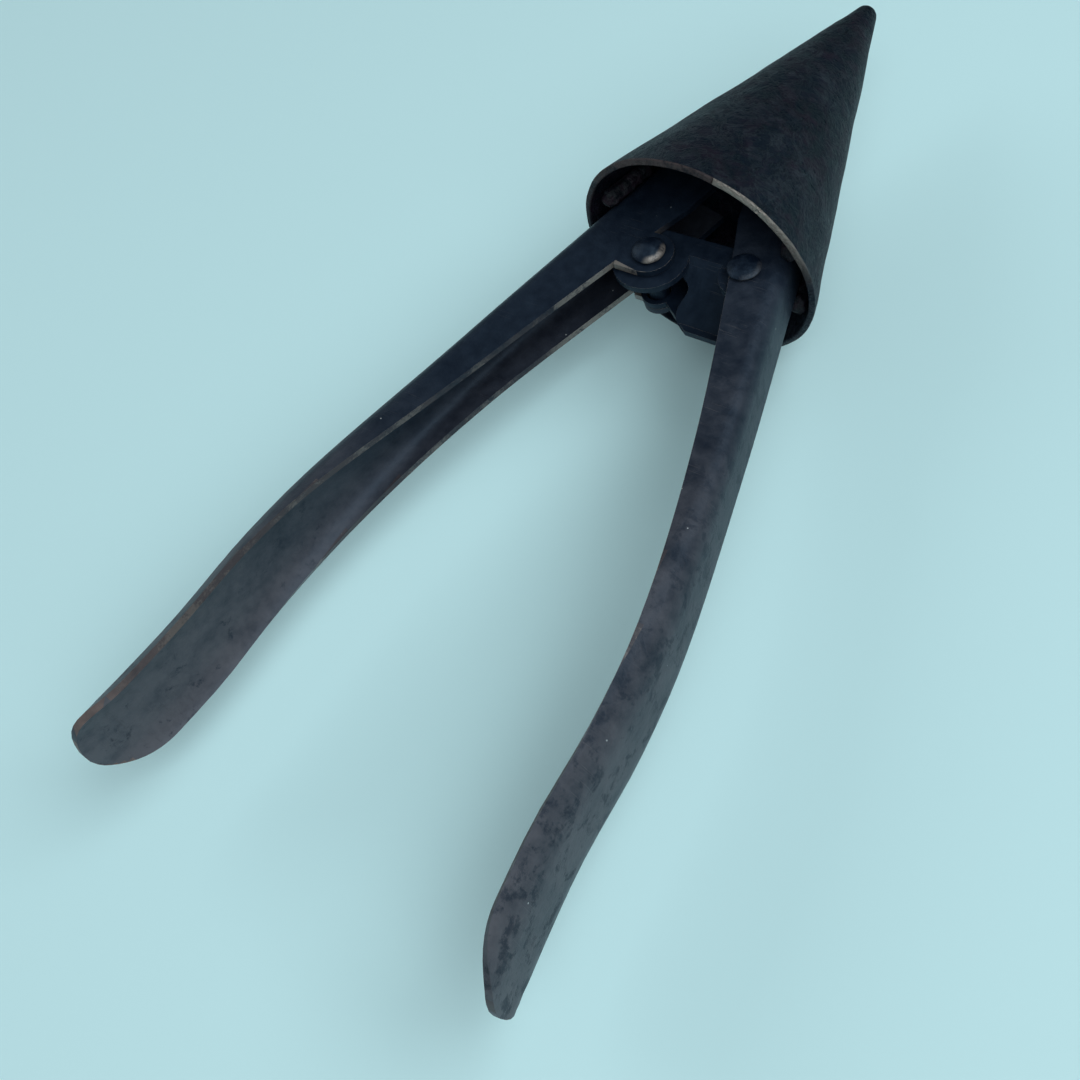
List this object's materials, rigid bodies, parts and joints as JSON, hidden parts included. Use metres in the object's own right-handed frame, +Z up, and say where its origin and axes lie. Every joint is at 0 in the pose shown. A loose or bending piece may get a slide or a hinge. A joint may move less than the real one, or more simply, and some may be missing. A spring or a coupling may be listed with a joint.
{
  "type": "nutcracker",
  "caption": "Pressed-steel hand tool: two spread channel handles riveted to a small bracket open a cone that is split lengthwise.",
  "frame": {"origin": "under the middle of the tool, level with the lowest edge of the cone's mouth", "axes": "+X along the cone's axis towards its point, +Y towards the left handle, +Z up, parallel to the rivets"},
  "size_m": [0.1892, 0.0808, 0.045],
  "materials": {
    "cone_skin": "worn near-black finish, pitted, with browned and bright patches",
    "handle_skin": "worn blue-black finish with rubbed brown edges",
    "bracket_skin": "worn blue-black finish with rubbed edges",
    "rivet_steel": "darkened steel, rubbed on top",
    "weld_metal": "rough weld metal, darkened"
  },
  "bodies": {
    "bracket": {"pivot_bracket": "bracket_skin", "left_pivot_rivet": "rivet_steel", "right_pivot_rivet": "rivet_steel"},
    "left_lever": {"left_handle": "handle_skin", "left_half_cone": "cone_skin", "left_upper_weld": "weld_metal", "left_lower_weld": "weld_metal"},
    "right_lever": {"right_handle": "handle_skin", "right_half_cone": "cone_skin", "right_upper_weld": "weld_metal", "right_lower_weld": "weld_metal"}
  },
  "joints": [
    {"name": "left_lever_swing", "type": "hinge", "parent": "bracket", "child": "left_lever", "pos_m": [0.02298, 0.0049, 0.0225], "axis": [0, 0, 1], "range_deg": [0, 17]},
    {"name": "right_lever_swing", "type": "hinge", "parent": "bracket", "child": "right_lever", "pos_m": [0.02548, -0.012, 0.0225], "axis": [0, 0, -1], "range_deg": [0, 17]}
  ]
}
